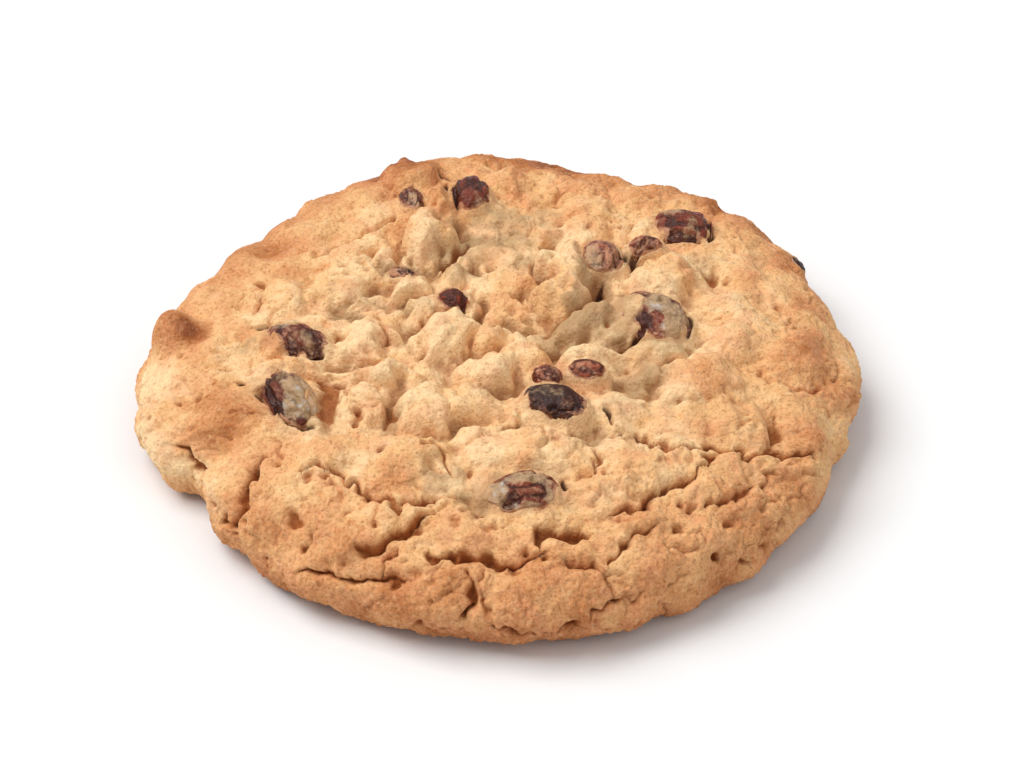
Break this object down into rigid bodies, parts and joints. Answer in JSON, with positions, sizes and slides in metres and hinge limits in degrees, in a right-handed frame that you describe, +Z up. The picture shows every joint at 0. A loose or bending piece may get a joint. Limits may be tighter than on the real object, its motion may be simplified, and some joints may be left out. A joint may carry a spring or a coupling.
{
  "type": "oatmeal raisin cookie",
  "caption": "Thick round baked cookie with a lumpy, cracked oat-dough top and dark raisins set into it, lying flat on its underside.",
  "frame": {"origin": "middle of the flat underside, on the surface that the cookie lies on", "axes": "+Z up through the thickness, +Y to the side that is furthest from a viewer in front, +X to that viewer's right"},
  "size_m": [0.0956, 0.095, 0.0184],
  "materials": {
    "dough": "baked oat dough: dry, matte and granular, pale gold in the middle and browner on the rim and the high lumps",
    "raisin": "dried grape skin: wrinkled, dark maroon to near black, semi-gloss, partly filmed with dough"
  },
  "bodies": {
    "root": {"dough": "dough", "raisin_back_centre": "raisin", "raisin_back_left": "raisin", "raisin_back_right": "raisin", "raisin_ridge_centre": "raisin", "raisin_ridge_right": "raisin", "raisin_right": "raisin", "raisin_rim_right": "raisin", "raisin_left_upper": "raisin", "raisin_left_lower": "raisin", "raisin_middle_left": "raisin", "raisin_middle_right": "raisin", "raisin_middle_dark": "raisin", "raisin_front": "raisin", "raisin_under_flake": "raisin", "raisin_upper_left": "raisin"}
  },
  "joints": []
}
